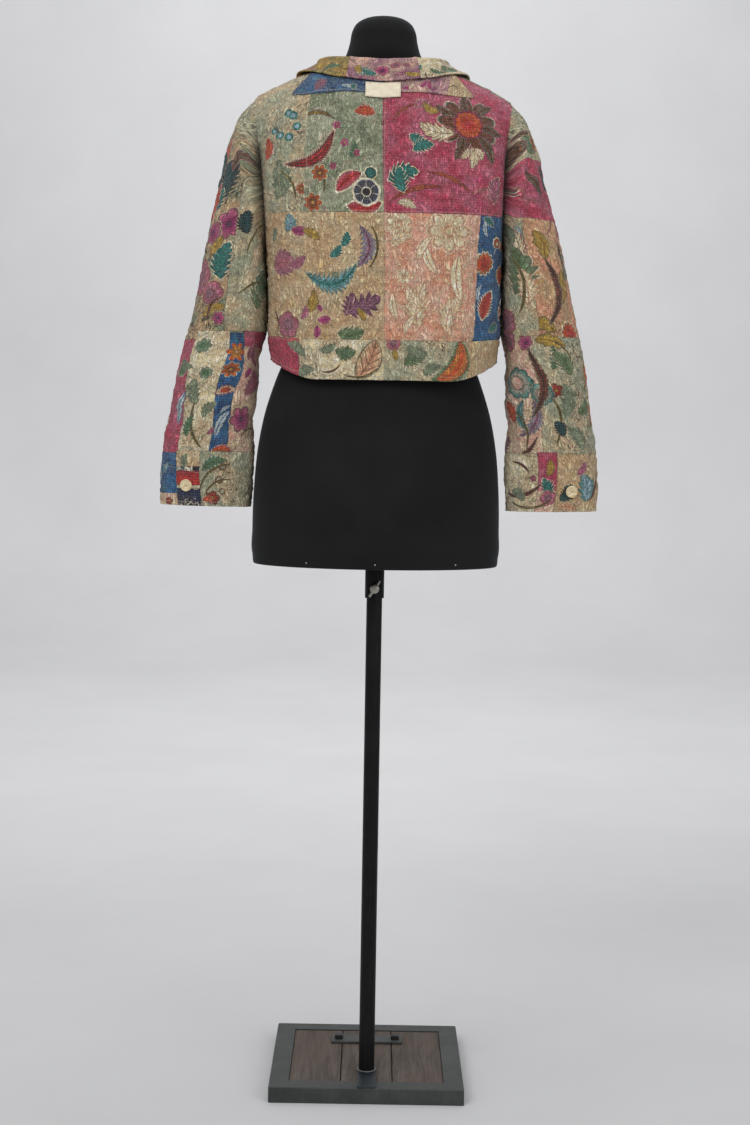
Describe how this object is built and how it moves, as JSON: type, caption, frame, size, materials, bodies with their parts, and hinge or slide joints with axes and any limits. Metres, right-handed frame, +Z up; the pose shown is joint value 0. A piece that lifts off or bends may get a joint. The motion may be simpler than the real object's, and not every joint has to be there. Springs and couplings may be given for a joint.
{
  "type": "patchwork jacket on dress form",
  "caption": "Cropped long-sleeved patchwork jacket with a folded collar, hung on a limbless dress form that slides on a pole with a square foot.",
  "frame": {"origin": "underside of the middle plank, below the pole's axis", "axes": "+Z up the pole; -Y the way the jacket's back faces; +X the wearer's right hand side"},
  "size_m": [0.6842, 0.353, 1.68],
  "materials": {
    "sage": "matte print",
    "crimson": "matte print",
    "tan": "matte print",
    "peach": "matte print",
    "blue": "matte print",
    "cream": "matte print",
    "olive": "matte print",
    "label": "plain cotton",
    "jersey": "matte knit",
    "button": "satin",
    "dark_steel": "satin black",
    "bright_steel": "dull silver",
    "plank": "weathered"
  },
  "bodies": {
    "stand": {"foot_frame": "dark_steel", "plank_1": "plank", "plank_2": "plank", "plank_3": "plank", "pole_bar": "dark_steel", "strap": "dark_steel", "bolt_left": "dark_steel", "bolt_right": "dark_steel", "pole": "dark_steel"},
    "form": {"sleeve_tube": "dark_steel", "dress_form": "jersey", "back_yoke_left": "sage", "back_yoke_right": "crimson", "back_lower_left": "tan", "back_lower_middle": "peach", "back_lower_right": "blue", "hem_back_left": "cream", "hem_back_right": "sage", "front_left": "tan", "front_right": "sage", "hem_front_left": "peach", "hem_front_right": "peach", "front_band_over": "cream", "front_band_under": "cream", "neck_strip": "blue", "label": "label", "collar_left": "olive", "collar_middle": "tan", "collar_right": "sage", "sleeve_left_upper_outer": "tan", "sleeve_left_upper_inner": "sage", "sleeve_left_upper_front": "peach", "sleeve_left_lower_outer": "crimson", "sleeve_left_lower_middle": "cream", "sleeve_left_lower_strip": "blue", "sleeve_left_lower_inner": "peach", "sleeve_left_lower_front": "tan", "sleeve_left_cuff_outer": "blue", "sleeve_left_cuff_placket": "crimson", "sleeve_left_cuff_inner": "sage", "sleeve_left_cuff_front": "tan", "sleeve_right_upper_outer": "peach", "sleeve_right_upper_inner": "crimson", "sleeve_right_upper_front": "sage", "sleeve_right_lower_outer": "sage", "sleeve_right_lower_inner": "peach", "sleeve_right_lower_front": "cream", "sleeve_right_cuff_outer": "tan", "sleeve_right_cuff_placket": "crimson", "sleeve_right_cuff_inner": "sage", "sleeve_right_cuff_front": "peach", "front_button_1": "button", "front_button_2": "button", "front_button_3": "button", "front_button_4": "button", "front_button_5": "button", "cuff_button_left": "button", "cuff_button_right": "button"},
    "clamp_screw": {"clamp_screw": "bright_steel"}
  },
  "joints": [
    {"name": "height", "type": "slide", "parent": "stand", "child": "form", "axis": [0, 0, 1], "range_m": [-0.2, 0.2]},
    {"name": "clamp_turn", "type": "hinge", "parent": "form", "child": "clamp_screw", "pos_m": [0, -0.024, 0.788], "axis": [0, 1, 0], "continuous": true}
  ]
}
